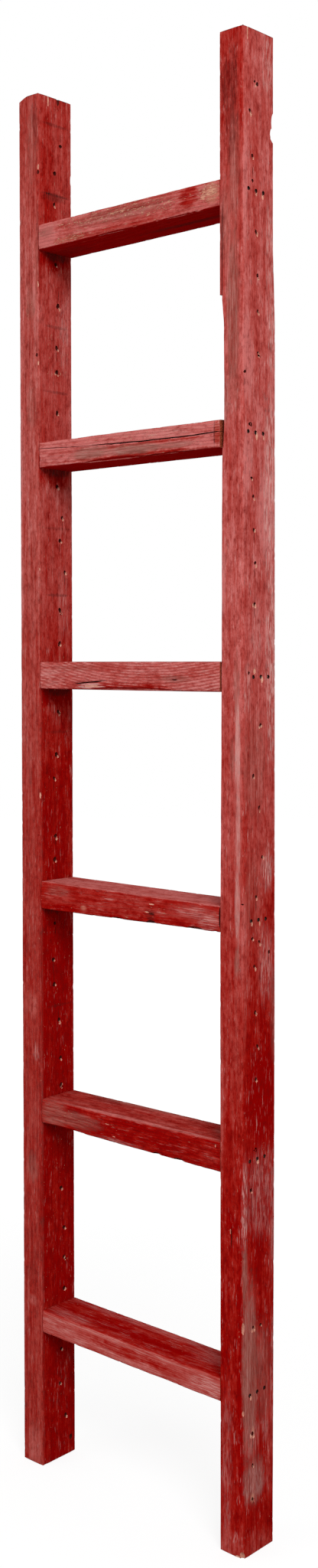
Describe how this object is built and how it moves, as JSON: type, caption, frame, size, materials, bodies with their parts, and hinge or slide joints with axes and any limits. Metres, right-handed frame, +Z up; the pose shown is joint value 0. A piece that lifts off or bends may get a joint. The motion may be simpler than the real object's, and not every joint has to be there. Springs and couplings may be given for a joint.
{
  "type": "blanket ladder",
  "caption": "Rustic wooden blanket ladder: sawn rails with flat rungs butted and screwed between them, to lean on a wall and hang blankets over the rungs.",
  "frame": {"origin": "on the floor, midway between the two feet and midway through the stock's depth", "axes": "+X across the ladder to the viewer's right from the front, +Y from the front to the back (the wall side), +Z up along the rails"},
  "size_m": [0.384, 0.0616, 1.829],
  "materials": {
    "rail_wood": "worn barn-red paint over old sawn wood, matt to satin",
    "rung_wood": "worn barn-red paint over old sawn wood, matt to satin",
    "screw_steel": "dull zinc, paint-stained"
  },
  "bodies": {
    "root": {"rail_left": "rail_wood", "rail_right": "rail_wood", "rung_1": "rung_wood", "rung_2": "rung_wood", "rung_3": "rung_wood", "rung_4": "rung_wood", "rung_5": "rung_wood", "rung_6": "rung_wood", "rung_1_screws_left": "screw_steel", "rung_1_screws_right": "screw_steel", "rung_2_screws_left": "screw_steel", "rung_2_screws_right": "screw_steel", "rung_3_screws_left": "screw_steel", "rung_3_screws_right": "screw_steel", "rung_4_screws_left": "screw_steel", "rung_4_screws_right": "screw_steel", "rung_5_screws_left": "screw_steel", "rung_5_screws_right": "screw_steel", "rung_6_screws_left": "screw_steel", "rung_6_screws_right": "screw_steel"}
  },
  "joints": []
}
